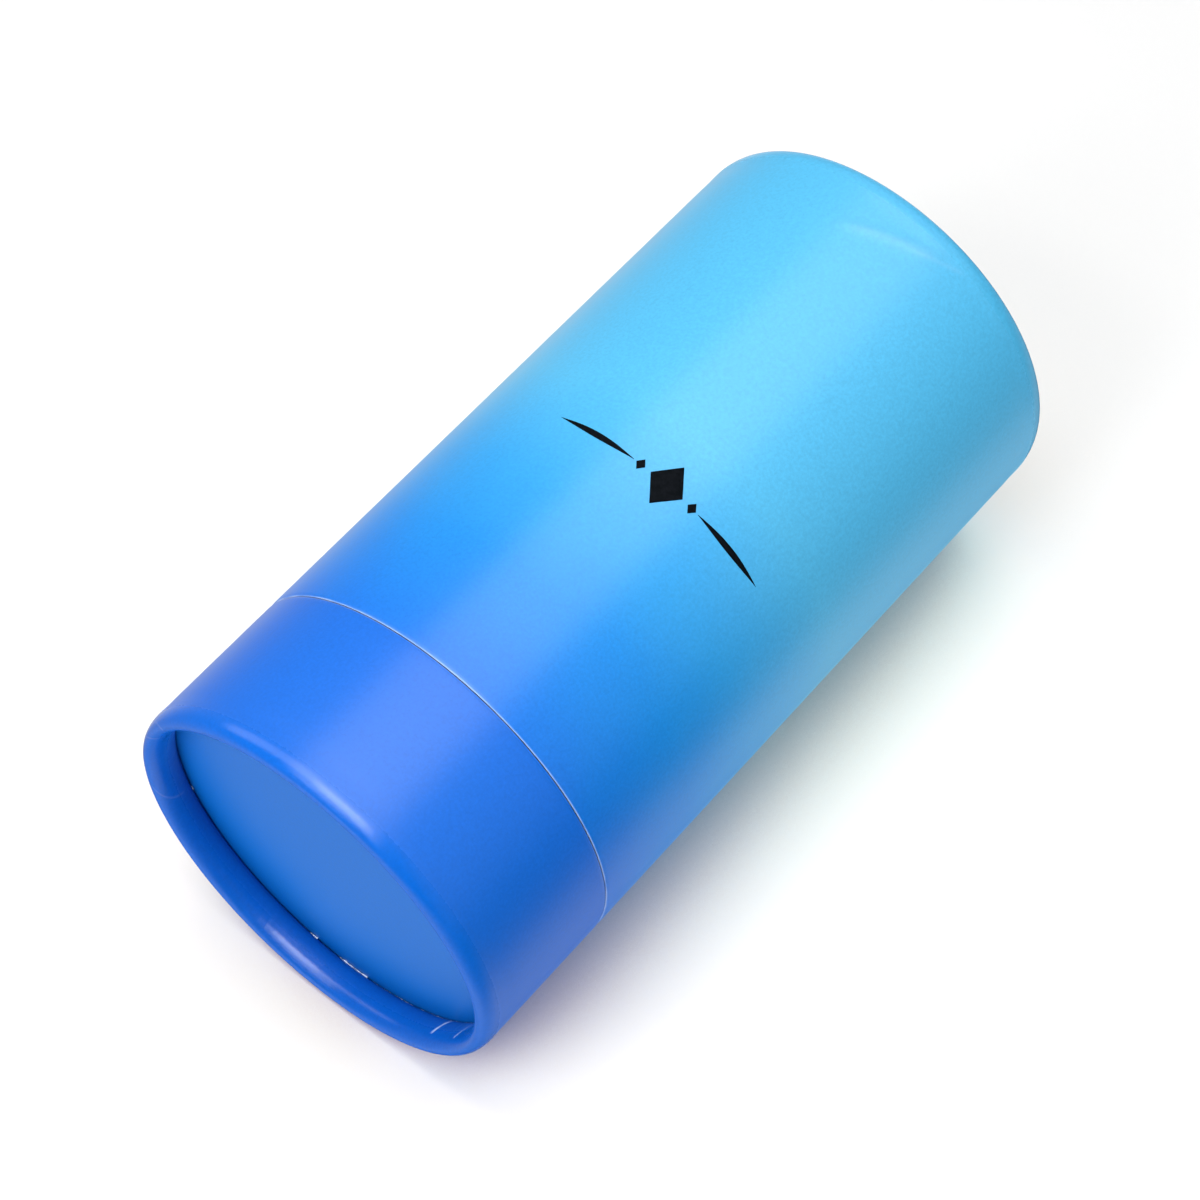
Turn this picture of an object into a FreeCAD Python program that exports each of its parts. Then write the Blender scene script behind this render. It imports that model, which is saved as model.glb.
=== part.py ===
import FreeCAD, Part
import os
import Sketcher

# Cylindrical gift tube box, standing on its base, axis along Z. A short base
# carries a glued-in neck, and a long lid slides over that neck. Each half is a
# wound board tube whose outer end is rolled inward into a round rim, with an
# end disc behind the rim. Lengths are in millimetres.

SIZES = {
    # outside of the closed box
    "tube_radius": 35.0,
    "box_height": 141.0,
    "base_height": 28.0,
    "seam_gap": 0.2,
    # board and paper
    "shell_wall": 1.2,
    "neck_wall": 1.2,
    "disc_thickness": 1.5,
    "wrap_thickness": 0.2,
    "lining_thickness": 0.15,
    "glue_gap": 0.05,
    # rolled rim: hollow in the roll, its stretch along the wall, flat it stands on, swell past the wall
    "roll_hollow": 0.15,
    "roll_stretch": 2.9,
    "rim_land": 0.2,
    "rim_swell": 0.15,
    "swell_run": 4.5,
    # end disc behind the rim
    "disc_gap": 0.15,
    # neck inside the lid
    "neck_rise": 22.0,
    "slide_clearance": 0.3,
}

doc = FreeCAD.newDocument("gift_tube_box")
sheet = doc.addObject("Spreadsheet::Sheet", "Sizes")
for row, (alias, number) in enumerate(SIZES.items(), start=1):
    sheet.set(f"A{row}", alias)
    sheet.set(f"B{row}", str(number))
    sheet.setAlias(f"B{row}", alias)
doc.recompute()

# Sizes that follow from those above, written as expressions on the sheet.

FULL_HEIGHT = "Sizes.box_height"
BASE_EDGE = "Sizes.base_height"
LID_EDGE = "(Sizes.base_height + Sizes.seam_gap)"

# radii of the wall, from the outside inward
WRAP_OUTER = "Sizes.tube_radius"
SHELL_DEPTH = "(Sizes.wrap_thickness + Sizes.glue_gap)"
SHELL_OUTER = f"({WRAP_OUTER} - {SHELL_DEPTH})"
SHELL_BORE = f"({SHELL_OUTER} - Sizes.shell_wall)"
LINING_OUTER = f"({SHELL_BORE} - Sizes.glue_gap)"
LINING_BORE = f"({LINING_OUTER} - Sizes.lining_thickness)"
NECK_WRAP_OUTER = f"({LINING_BORE} - Sizes.slide_clearance)"
NECK_WRAP_BORE = f"({NECK_WRAP_OUTER} - Sizes.lining_thickness)"
NECK_OUTER = f"({NECK_WRAP_BORE} - Sizes.glue_gap)"
NECK_BORE = f"({NECK_OUTER} - Sizes.neck_wall)"
NECK_LINING_OUTER = f"({NECK_BORE} - Sizes.glue_gap)"
NECK_LINING_BORE = f"({NECK_LINING_OUTER} - Sizes.lining_thickness)"

# rolled rim: two quarter rounds side by side with the standing land between, and a straight
# inner side that leads to a third quarter round
BEAD_RADIUS = f"({SHELL_DEPTH} + Sizes.shell_wall + Sizes.roll_hollow)"
OUTER_CENTRE = f"({WRAP_OUTER} + Sizes.rim_swell - {BEAD_RADIUS})"
INNER_CENTRE = f"({OUTER_CENTRE} - Sizes.rim_land)"
ROLL_LOW = f"({BEAD_RADIUS} + Sizes.roll_stretch)"
ROLL_DEPTH = f"({ROLL_LOW} + {BEAD_RADIUS})"
SWELL_START = f"({ROLL_DEPTH} + Sizes.swell_run)"

# layers of the end, as distances in from the rim's outer end
FACE_DEPTH = f"({ROLL_DEPTH} + Sizes.disc_gap)"
DISC_DEPTH = f"({FACE_DEPTH} + Sizes.wrap_thickness + Sizes.glue_gap)"
PAPER_DEPTH = f"({DISC_DEPTH} + Sizes.disc_thickness + Sizes.glue_gap)"
LINER_DEPTH = f"({PAPER_DEPTH} + Sizes.lining_thickness + Sizes.glue_gap)"
DISC_RADIUS = f"({SHELL_BORE} - Sizes.glue_gap)"
NECK_TOP = f"({BASE_EDGE} + Sizes.neck_rise)"


def from_bottom(depth):
    """Height of a point that lies this far in from the bottom end."""
    return depth


def from_top(depth):
    """Height of a point that lies this far in from the top end."""
    return f"({FULL_HEIGHT} - {depth})"


def new_body(label):
    """An empty body that becomes the sub-part of this name."""
    body = doc.addObject("PartDesign::Body", label)
    body.Label = label
    return body


def new_sketch(body, role, name):
    """A sketch of the body, on the origin plane with this role."""
    plane = next(item for item in body.Origin.OriginFeatures if item.Role == role)
    sketch = body.newObject("Sketcher::SketchObject", name)
    sketch.AttachmentSupport = [(plane, "")]
    sketch.MapMode = "FlatFace"
    return sketch


def number_of(expression):
    """Present value of an expression on the sheet."""
    return float(doc.Sizes.evalExpression(expression))


def locate(sketch, piece, point, axis, expression):
    """Hold one coordinate of a sketch point at the expression's value."""
    rule = "DistanceX" if axis == "across" else "DistanceY"
    value = number_of(expression)
    index = sketch.addConstraint(Sketcher.Constraint(rule, -1, 1, piece, point, value))
    sketch.setExpression(f"Constraints[{index}]", expression)


def draw_outline(sketch, start, steps):
    """Closed outline in the half-plane of radius and height.

    Each step is ("line", end) or ("arc", end, centre, turn), with points as
    pairs of expressions, and a last line returns to the start. An arc's end is
    held by the coordinate that runs along it there, because the circle
    through its start already fixes the other one.
    """
    here = FreeCAD.Vector(number_of(start[0]), number_of(start[1]), 0)
    first = here
    previous = None
    for step in steps + [("line", start)]:
        end = FreeCAD.Vector(number_of(step[1][0]), number_of(step[1][1]), 0)
        if step[0] == "line":
            piece = sketch.addGeometry(Part.LineSegment(here, end), False)
            begin_point, end_point = 1, 2
        else:
            centre = FreeCAD.Vector(number_of(step[2][0]), number_of(step[2][1]), 0)
            left = step[3] == "left"
            low, high = (here, end) if left else (end, here)
            low_angle = FreeCAD.Vector(1, 0, 0).getAngle(low - centre)
            low_angle = low_angle if low.y >= centre.y else -low_angle
            high_angle = FreeCAD.Vector(1, 0, 0).getAngle(high - centre)
            high_angle = high_angle if high.y >= centre.y else -high_angle
            circle = Part.Circle(centre, FreeCAD.Vector(0, 0, 1), (low - centre).Length)
            piece = sketch.addGeometry(Part.ArcOfCircle(circle, low_angle, high_angle), False)
            begin_point, end_point = (1, 2) if left else (2, 1)
        if previous is None:
            opening = (piece, begin_point)
            locate(sketch, piece, begin_point, "across", start[0])
            locate(sketch, piece, begin_point, "up", start[1])
        else:
            sketch.addConstraint(Sketcher.Constraint("Coincident", *previous, piece, begin_point))
        if step[0] == "arc":
            locate(sketch, piece, 3, "across", step[2][0])
            locate(sketch, piece, 3, "up", step[2][1])
            level = abs(end.y - centre.y) < abs(end.x - centre.x)
            locate(sketch, piece, end_point, "up" if level else "across", step[1][1 if level else 0])
        elif step[1] is not start:
            locate(sketch, piece, end_point, "across", step[1][0])
            locate(sketch, piece, end_point, "up", step[1][1])
        previous = (piece, end_point)
        here = end
    sketch.addConstraint(Sketcher.Constraint("Coincident", *previous, *opening))


def turned_part(label, start, steps):
    """A sub-part turned once round the tube's axis from one outline."""
    body = new_body(label)
    sketch = new_sketch(body, "XZ_Plane", label + "_outline")
    draw_outline(sketch, start, steps)
    turn = body.newObject("PartDesign::Revolution", label + "_turn")
    turn.Profile = sketch
    turn.ReferenceAxis = (sketch, ["V_Axis"])
    turn.Angle = 360
    return body


def curled_part(label, depth, thickness, edge, height_of, turn_out, turn_in):
    """A layer of the wall whose outer end is rolled inward into the rim.

    depth is how far the layer lies under the outermost surface; the roll ends
    with its tip over the middle of the rim, just short of the end disc.
    """
    outer = f"({WRAP_OUTER} - {depth})"
    bore = f"({outer} - {thickness})"
    roll_outer = f"({BEAD_RADIUS} - {depth})"
    roll_bore = f"({roll_outer} - {thickness})"
    level = height_of(BEAD_RADIUS)
    outer_centre = (OUTER_CENTRE, level)
    inner_centre = (INNER_CENTRE, level)
    low_level = height_of(ROLL_LOW)
    tip_centre = (INNER_CENTRE, low_level)
    inner_depth = f"({depth} + {thickness})"
    tip_outer = height_of(f"({ROLL_LOW} + {roll_outer})")
    tip_inner = height_of(f"({ROLL_LOW} + {roll_bore})")
    steps = [
        ("line", (outer, height_of(SWELL_START))),
        ("line", (f"({OUTER_CENTRE} + {roll_outer})", level)),
        ("arc", (OUTER_CENTRE, height_of(depth)), outer_centre, turn_out),
        ("line", (INNER_CENTRE, height_of(depth))),
        ("arc", (f"({INNER_CENTRE} - {roll_outer})", level), inner_centre, turn_out),
        ("line", (f"({INNER_CENTRE} - {roll_outer})", low_level)),
        ("arc", (INNER_CENTRE, tip_outer), tip_centre, turn_out),
        ("line", (INNER_CENTRE, tip_inner)),
        ("arc", (f"({INNER_CENTRE} - {roll_bore})", low_level), tip_centre, turn_in),
        ("line", (f"({INNER_CENTRE} - {roll_bore})", level)),
        ("arc", (INNER_CENTRE, height_of(inner_depth)), inner_centre, turn_in),
        ("line", (OUTER_CENTRE, height_of(inner_depth))),
        ("arc", (f"({OUTER_CENTRE} + {roll_bore})", level), outer_centre, turn_in),
        ("line", (bore, height_of(SWELL_START))),
        ("line", (bore, edge)),
    ]
    return turned_part(label, (outer, edge), steps)


def sleeve_part(label, outer, bore, low, high):
    """A plain straight tube between two heights."""
    steps = [
        ("line", (outer, low)),
        ("line", (bore, low)),
        ("line", (bore, high)),
    ]
    return turned_part(label, (outer, high), steps)


def disc_part(label, radius, low, thickness):
    """A round flat sheet whose lower face lies at this height."""
    body = new_body(label)
    sketch = new_sketch(body, "XY_Plane", label + "_outline")
    sketch.setExpression("AttachmentOffset.Base.z", low)
    middle = FreeCAD.Vector(0, 0, 0)
    circle = Part.Circle(middle, FreeCAD.Vector(0, 0, 1), number_of(radius))
    piece = sketch.addGeometry(circle, False)
    sketch.addConstraint(Sketcher.Constraint("Coincident", piece, 3, -1, 1))
    size = sketch.addConstraint(Sketcher.Constraint("Radius", piece, number_of(radius)))
    sketch.setExpression(f"Constraints[{size}]", radius)
    sheet_of_disc = body.newObject("PartDesign::Pad", label + "_pad")
    sheet_of_disc.Profile = sketch
    sheet_of_disc.setExpression("Length", thickness)
    return body


WRAP = "Sizes.wrap_thickness"
LINING = "Sizes.lining_thickness"
WALL = "Sizes.shell_wall"
OUTERMOST = "(Sizes.wrap_thickness - Sizes.wrap_thickness)"

bodies = []

# Base: rolled shell, its printed wrap and its white inner ply.
bodies.append(curled_part("base_shell", SHELL_DEPTH, WALL, BASE_EDGE, from_bottom, "right", "left"))
bodies.append(curled_part("base_wrap", OUTERMOST, WRAP, BASE_EDGE, from_bottom, "right", "left"))
bodies.append(sleeve_part("base_lining", LINING_OUTER, LINING_BORE, LINER_DEPTH, BASE_EDGE))

# End disc of the base with printed paper outside and white paper inside.
bodies.append(disc_part("base_disc_face", DISC_RADIUS, FACE_DEPTH, WRAP))
bodies.append(disc_part("base_disc", DISC_RADIUS, DISC_DEPTH, "Sizes.disc_thickness"))
bodies.append(disc_part("base_floor_paper", DISC_RADIUS, PAPER_DEPTH, LINING))

# Neck glued into the base, standing on the disc and rising into the lid.
bodies.append(sleeve_part("neck_wrap", NECK_WRAP_OUTER, NECK_WRAP_BORE, LINER_DEPTH, NECK_TOP))
bodies.append(sleeve_part("neck_tube", NECK_OUTER, NECK_BORE, LINER_DEPTH, NECK_TOP))
bodies.append(sleeve_part("neck_lining", NECK_LINING_OUTER, NECK_LINING_BORE, LINER_DEPTH, NECK_TOP))

# Lid: the same wall, rolled at the top and open at the bottom.
bodies.append(curled_part("lid_shell", SHELL_DEPTH, WALL, LID_EDGE, from_top, "left", "right"))
bodies.append(curled_part("lid_wrap", OUTERMOST, WRAP, LID_EDGE, from_top, "left", "right"))
bodies.append(sleeve_part("lid_lining", LINING_OUTER, LINING_BORE, LID_EDGE, from_top(LINER_DEPTH)))

# End disc of the lid, in the same layers as the base's.
face_low = f"({from_top(FACE_DEPTH)} - {WRAP})"
disc_low = f"({from_top(DISC_DEPTH)} - Sizes.disc_thickness)"
paper_low = f"({from_top(PAPER_DEPTH)} - {LINING})"
bodies.append(disc_part("lid_disc_face", DISC_RADIUS, face_low, WRAP))
bodies.append(disc_part("lid_disc", DISC_RADIUS, disc_low, "Sizes.disc_thickness"))
bodies.append(disc_part("lid_ceiling_paper", DISC_RADIUS, paper_low, LINING))

doc.recompute()

for item in doc.Objects:
    faults = [mark for mark in item.State if mark in ("Invalid", "Error")]
    if faults:
        raise RuntimeError(f"{item.Label} is in state {faults}")
for body in bodies:
    shape = body.Shape
    if shape.isNull() or not shape.isValid() or len(shape.Solids) != 1:
        raise RuntimeError(f"{body.Label} has no valid single solid")

os.makedirs("parts", exist_ok=True)
for body in bodies:
    body.Shape.exportStep(f"parts/{body.Label}.step")
    box = body.Shape.BoundBox
    print(f"{body.Label:18s} volume {body.Shape.Volume:9.1f}  radius {box.XMax:7.3f}"
          f"  heights {box.ZMin:8.3f} to {box.ZMax:8.3f}")
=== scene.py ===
# %% [markdown]
# # A cylindrical gift tube box
#
# The box is a paper tube cut in two. A short base and a long lid come from the same wound
# board tube, and the outer end of each is rolled inward into a round rim. Printed paper runs
# down the wall and round that roll. A narrower tube, the neck, is glued into the base, and
# the lid slides over it.
#
# The CAD model holds every piece at its true size and place, so this script starts from it.
# It keeps the two end boards as they are and works out the papers and tubes anew, because
# paper shows what a plain solid leaves out: a lapped joint, wrinkles on the roll, a cut edge
# that has been pressed round and a few torn fibres.

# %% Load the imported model
import math

import bpy
import numpy as np
from mathutils import Matrix, Vector


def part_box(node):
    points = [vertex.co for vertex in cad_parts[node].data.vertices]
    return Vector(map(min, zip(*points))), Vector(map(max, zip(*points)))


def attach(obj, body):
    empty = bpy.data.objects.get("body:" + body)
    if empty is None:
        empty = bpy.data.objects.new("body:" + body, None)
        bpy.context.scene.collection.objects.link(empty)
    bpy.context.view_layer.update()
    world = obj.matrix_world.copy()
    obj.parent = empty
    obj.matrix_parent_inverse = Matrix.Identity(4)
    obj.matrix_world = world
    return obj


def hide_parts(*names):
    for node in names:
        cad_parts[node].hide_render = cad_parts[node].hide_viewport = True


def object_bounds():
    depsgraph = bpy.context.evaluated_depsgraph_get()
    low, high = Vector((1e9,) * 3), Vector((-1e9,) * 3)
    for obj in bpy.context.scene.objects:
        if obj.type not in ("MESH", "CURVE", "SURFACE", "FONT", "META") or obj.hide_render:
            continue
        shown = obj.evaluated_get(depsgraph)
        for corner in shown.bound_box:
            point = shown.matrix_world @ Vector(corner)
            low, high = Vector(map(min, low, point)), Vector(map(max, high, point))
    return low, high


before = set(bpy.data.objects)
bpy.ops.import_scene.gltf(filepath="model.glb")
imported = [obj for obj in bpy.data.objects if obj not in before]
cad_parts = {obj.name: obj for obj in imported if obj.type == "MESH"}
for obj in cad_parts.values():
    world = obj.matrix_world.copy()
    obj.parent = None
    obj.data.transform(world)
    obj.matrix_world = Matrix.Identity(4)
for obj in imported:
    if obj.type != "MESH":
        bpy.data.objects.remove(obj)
cad_low, cad_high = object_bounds()
MM = 0.001

print("CAD nodes:", ", ".join(sorted(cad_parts)))
print("CAD box in mm:", [round(side / MM, 2) for side in cad_high - cad_low])

# %% [markdown]
# ## The camera
#
# The box was photographed lying on its side, but the model stands on its base along +Z.
# Turning the model would break the frame that it shares with the CAD, so the photograph's
# own directions are worked out instead: which way is up for the lying box, and where the
# camera stands in those directions. The camera then gets a matrix whose columns are its
# right, its up and its backward direction.

# %% Directions of the lying box, and the camera
UP_TURN = math.radians(-105.0)
CAMERA_HEADING = math.radians(39.44)
CAMERA_TILT = math.radians(57.4)
CAMERA_DISTANCE = 0.555
AIM_HEIGHT = 0.06795
AIM_ASIDE = 0.00073

tube_axis = Vector((0.0, 0.0, 1.0))
photo_up = Vector((math.cos(UP_TURN), math.sin(UP_TURN), 0.0))
photo_left = photo_up.cross(tube_axis)
level_view = math.cos(CAMERA_HEADING) * tube_axis + math.sin(CAMERA_HEADING) * photo_left
forward = math.cos(CAMERA_TILT) * level_view - math.sin(CAMERA_TILT) * photo_up
camera_right = level_view.cross(photo_up)
camera_up = camera_right.cross(forward)

camera_data = bpy.data.cameras.new("photo_camera")
camera_data.lens = 105.0
camera_data.sensor_width = 36.0
camera = bpy.data.objects.new("photo_camera", camera_data)
bpy.context.scene.collection.objects.link(camera)
camera_place = AIM_HEIGHT * tube_axis + AIM_ASIDE * camera_right - CAMERA_DISTANCE * forward
camera_turn = Matrix((camera_right, camera_up, -forward)).transposed()
camera.matrix_world = Matrix.Translation(camera_place) @ camera_turn.to_4x4()
bpy.context.scene.camera = camera
print("camera at", [round(c, 3) for c in camera_place])

# %% [markdown]
# ## From a grid of numbers to a mesh
#
# Almost every piece here is a sheet or a tube, and such a shape is a function of two
# parameters: how far along, and how far round. numpy works out all points of that grid at
# once. What is left is to join neighbours into faces, which is the same for every piece, so
# two small functions do it for all of them.

# %% Faces over a grid, and pieces made of such surfaces
def surface(points, ring=True):
    """Vertices and faces over a (rows, columns, 3) array of points.

    Each face joins four neighbours, and the last column joins the first. With ring, the last
    row also joins the first, as in a profile that comes back to its start. Without it, each
    end row is closed by a fan of triangles to its middle. The volume inside is a sixth of
    the sum of a . (b x c) over all triangles; where it is negative, the faces are turned.
    """
    rows, columns = points.shape[:2]
    index = np.arange(rows * columns).reshape(rows, columns)
    beside = np.roll(index, -1, axis=1)
    if ring:
        corners = [index, beside, np.roll(beside, -1, axis=0), np.roll(index, -1, axis=0)]
    else:
        corners = [index[:-1], beside[:-1], beside[1:], index[1:]]
    quads = np.stack(corners, axis=-1).reshape(-1, 4)
    vertices = points.reshape(-1, 3)
    triangles = np.concatenate([quads[:, [0, 1, 2]], quads[:, [0, 2, 3]]])
    fans = np.zeros((0, 3), int)
    if not ring:
        middles = [points[0].mean(axis=0), points[-1].mean(axis=0)]
        first, last = len(vertices), len(vertices) + 1
        vertices = np.concatenate([vertices, middles])
        start_fan = np.stack([beside[0], index[0], np.full(columns, first)], axis=-1)
        end_fan = np.stack([index[-1], beside[-1], np.full(columns, last)], axis=-1)
        fans = np.concatenate([start_fan, end_fan])
        triangles = np.concatenate([triangles, fans])
    a, b, c = (vertices[triangles[:, k]] for k in range(3))
    if np.einsum("ij,ij->", a, np.cross(b, c)) < 0:
        quads, fans = quads[:, ::-1], fans[:, ::-1]
    return vertices, quads.tolist() + fans.tolist()


def make_piece(name, surfaces, **marks):
    """Smooth-shaded object of one or more surfaces; marks are point attributes, one array each."""
    vertices, faces, count = [], [], 0
    for points, corners in surfaces:
        faces += [[corner + count for corner in face] for face in corners]
        vertices.append(points)
        count += len(points)
    mesh = bpy.data.meshes.new(name)
    mesh.from_pydata(np.concatenate(vertices).tolist(), [], faces)
    mesh.shade_smooth()
    for mark, values in marks.items():
        attribute = mesh.attributes.new(mark, "FLOAT", "POINT")
        attribute.data.foreach_set("value", np.ascontiguousarray(values, dtype=np.float32).ravel())
    piece = bpy.data.objects.new(name, mesh)
    bpy.context.scene.collection.objects.link(piece)
    print(f"{name}: {count} points, {len(faces)} faces")
    return piece


def around(r, z, theta):
    """Points at distance r from the axis, height z and angle theta, all broadcast together."""
    r, z, theta = np.broadcast_arrays(r, z, theta)
    return np.stack([r * np.cos(theta), r * np.sin(theta), z], axis=-1)


def ease(x):
    """0 below 0, 1 above 1, and the smooth cubic 3x^2 - 2x^3 between."""
    x = np.clip(x, 0.0, 1.0)
    return x * x * (3.0 - 2.0 * x)


def seat(piece, body, material, node=None):
    """Gives a piece its material and the body that carries it, and hides the CAD node it replaces."""
    piece.data.materials.append(material)
    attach(piece, body)
    if node:
        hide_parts(node)


# %% [markdown]
# ## Nodes in short
#
# A node material is easy to lose sight of in code, because each node takes several lines. One
# helper makes a node and fills its sockets: a plain value is set on the socket, and a socket
# of another node is linked to it. Mixing, rescaling and noise come back in every material, so
# they have helpers as well.

# %% Helpers for node materials
NOISE_LOW = 0.3
NOISE_HIGH = 0.7


def add_node(tree, kind, sockets=None, **settings):
    """New shader node with its settings; sockets maps an input to a value or to an output."""
    node = tree.nodes.new("ShaderNode" + kind)
    for setting, value in settings.items():
        setattr(node, setting, value)
    for name, value in (sockets or {}).items():
        if isinstance(value, bpy.types.NodeSocket):
            tree.links.new(value, node.inputs[name])
        else:
            node.inputs[name].default_value = value
    return node


def mix_colours(tree, share, first, second, blend="MIX"):
    """Colour output that goes from first to second as share goes from 0 to 1."""
    factor, a, b, result = 0, 6, 7, 2
    sockets = {factor: share, a: first, b: second}
    node = add_node(tree, "Mix", sockets, data_type="RGBA", blend_type=blend)
    return node.outputs[result]


def rescale(tree, value, low_from, high_from, low_to, high_to):
    """Value output that maps one range onto another and stays inside it."""
    sockets = {"Value": value, "From Min": low_from, "From Max": high_from,
               "To Min": low_to, "To Max": high_to}
    return add_node(tree, "MapRange", sockets).outputs["Result"]


def combine(tree, operation, first, second=0.0):
    """Output of a Math node on two values."""
    return add_node(tree, "Math", {0: first, 1: second}, operation=operation).outputs["Value"]


def colour_ramp(tree, value, stops):
    """Colour output that follows value through stops of (value, colour), in rising order."""
    low, high = stops[0][0], stops[-1][0]
    node = add_node(tree, "ValToRGB", {"Fac": rescale(tree, value, low, high, 0.0, 1.0)})
    elements = node.color_ramp.elements
    while len(elements) < len(stops):
        elements.new(0.5)
    for element, (level, tone) in zip(elements, stops):
        element.position = (level - low) / (high - low)
        element.color = tone
    return node.outputs["Color"]


def noise(tree, place, cells_per_metre, detail=3.0, roughness=0.55):
    """Smooth noise about 0.5."""
    sockets = {"Vector": place, "Scale": cells_per_metre, "Detail": detail, "Roughness": roughness}
    return add_node(tree, "TexNoise", sockets).outputs["Fac"]


def spread(tree, cloud, low, high):
    """Noise with its usual range mapped onto low to high."""
    return rescale(tree, cloud, NOISE_LOW, NOISE_HIGH, low, high)


def start_material(name, specular):
    """Material with its node tree, its shader and the piece's own coordinates."""
    material = bpy.data.materials.new(name)
    material.use_nodes = True
    tree = material.node_tree
    shader = tree.nodes["Principled BSDF"]
    shader.inputs["Specular IOR Level"].default_value = specular
    place = add_node(tree, "TexCoord").outputs["Object"]
    return material, tree, shader, place


def finish_shader(tree, shader, tone, roughness, height, depth, strength):
    """Links colour, roughness and a relief of that depth in metres from a height of 0 to 1."""
    relief = add_node(tree, "Bump", {"Height": height, "Distance": depth, "Strength": strength})
    tree.links.new(tone, shader.inputs["Base Color"])
    tree.links.new(roughness, shader.inputs["Roughness"])
    tree.links.new(relief.outputs["Normal"], shader.inputs["Normal"])


def colour(red, green, blue):
    """Colour socket value, in linear light."""
    return (red, green, blue, 1.0)


# %% [markdown]
# ## The floor
#
# The box lies on a white sweep. This floor is one-sided, so that a camera behind it looks
# through, and only the camera sees it: the light that it would throw back comes from the world
# and from lamps instead, and reaches the underside from any view. A second floor lies under
# the standing box, for views from other sides.
#
# A photograph of white on white keeps its soft shadows because film answers ever less as it
# nears white. A render cuts off at white instead. So the floor's colour carries painted shadow
# by the share of open sky each point sees: darkest right beside the box, brightest in the soft
# part of the shadow, lower under the open sky.

# %% One-sided pale floors
RIM_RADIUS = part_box("base_wrap")[1].x
FLOOR_SIZE = 6.0
SKY_REACH = 0.15
LYING_GLOW = 0.02
STANDING_GLOW = 0.75
# Share of open sky, and the floor's painted tone there: painted shadow where the box hides the sky,
# warm beside the box to cancel the blue light that it throws.
FLOOR_SHADE_TONES = (
    (0.26, colour(0.36, 0.29, 0.24)),
    (0.42, colour(0.63, 0.49, 0.41)),
    (0.50, colour(0.765, 0.67, 0.55)),
    (0.58, colour(0.79, 0.745, 0.655)),
    (0.66, colour(0.77, 0.735, 0.66)),
    (0.75, colour(0.755, 0.72, 0.675)),
    (0.85, colour(0.68, 0.675, 0.665)),
    (1.00, colour(0.605, 0.605, 0.605)),
)


def floor_material(name, glow):
    """White matt floor with painted shadow, its tone following the share of open sky above it, clear
    from behind.
    """
    material, tree, shader, place = start_material(name, specular=0.0)
    tint = spread(tree, noise(tree, place, 6.0), 0.98, 1.0)
    # Painted shadow: the floor's colour darkens where it sees little open sky, beside and under the
    # box.
    open_sky = add_node(tree, "AmbientOcclusion", {"Distance": SKY_REACH}, samples=16).outputs["AO"]
    shaded = mix_colours(tree, 1.0, colour_ramp(tree, open_sky, FLOOR_SHADE_TONES), tint, "MULTIPLY")
    tree.links.new(shaded, shader.inputs["Base Color"])
    shader.inputs["Roughness"].default_value = 0.9
    shader.inputs["Emission Color"].default_value = colour(1.0, 1.0, 1.0)
    shader.inputs["Emission Strength"].default_value = glow
    clear = add_node(tree, "BsdfTransparent").outputs["BSDF"]
    behind = add_node(tree, "NewGeometry").outputs["Backfacing"]
    choice = add_node(tree, "MixShader", {0: behind, 1: shader.outputs["BSDF"], 2: clear})
    tree.links.new(choice.outputs["Shader"], tree.nodes["Material Output"].inputs["Surface"])
    return material


def make_floor(name, centre, normal, glow):
    """Square floor through centre, facing along normal, seen by the camera alone."""
    side = normal.orthogonal().normalized() * FLOOR_SIZE / 2
    other = normal.cross(side)
    corners = [centre + a * side + b * other for a, b in ((-1, -1), (1, -1), (1, 1), (-1, 1))]
    mesh = bpy.data.meshes.new(name)
    mesh.from_pydata([tuple(corner) for corner in corners], [], [(0, 1, 2, 3)])
    mesh.materials.append(floor_material(name, glow))
    floor = bpy.data.objects.new(name, mesh)
    bpy.context.scene.collection.objects.link(floor)
    floor.visible_diffuse = floor.visible_glossy = False
    floor.visible_transmission = floor.visible_shadow = False


make_floor("floor_lying", -RIM_RADIUS * photo_up, photo_up, LYING_GLOW)
make_floor("floor_standing", cad_low.z * tube_axis, tube_axis, STANDING_GLOW)
print("floors touch the lying side and the standing rim")

# %% [markdown]
# ## What the film mirrors
#
# Satin film mirrors the room softly, so the room has to be there. A tube mirrors mostly what
# lies round its axis, and its ends mirror what lies past them. So the world holds tables of
# light: one by the angle round the lying tube, and one past each end by how high it stands.
# The camera itself sees a plain white backdrop.

# %% World seen round the tube and past its ends
BACKDROP = colour(0.98, 0.98, 0.98)
# Degrees round the tube from overhead, right positive, and the light that comes from there.
ROUND_LIGHT = (
    (-180.0, 0.15),  # floor under the box, in its shadow
    (-160.0, 0.25),
    (-145.0, 0.85),
    (-128.0, 0.80),  # bright floor on the left
    (-95.0, 0.36),
    (-50.0, 0.38),  # dim room on the left
    (-20.0, 0.05),  # behind the softbox
    (10.0, 0.10),
    (32.0, 0.36),  # its spill on the right
    (60.0, 0.05),
    (100.0, 0.10),  # dark side of the room
    (115.0, 0.24),
    (140.0, 0.60),  # bright floor on the right
    (160.0, 0.40),
    (180.0, 0.15),
)
# Height of a direction, from -1 straight down to 1 straight up, and the light past each end.
FRONT_LIGHT = ((-1.0, 1.2), (-0.6, 0.9), (-0.3, 1.2), (0.1, 1.2), (0.3, 0.2), (1.0, 0.2))
BACK_LIGHT = ((-1.0, 0.0), (0.3, 0.0), (0.75, 2.0), (1.0, 2.0))
# Share of the light round the tube that is left towards the near end, where along the axis it
# is full, and how far past the middle the light of one end gives way to the other's.
NEAR_SHARE = 0.4
FULL_FROM = 0.35
ENDS_MEET = 0.05


def along(tree, direction, axis):
    """How far a direction goes along an axis, from -1 to 1."""
    sockets = {0: direction, 1: axis}
    return add_node(tree, "VectorMath", sockets, operation="DOT_PRODUCT").outputs["Value"]


def greys(stops, scale=1.0):
    """Stops of a ramp from pairs of a value and a brightness."""
    return [(value * scale, colour(level, level, level)) for value, level in stops]


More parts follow.
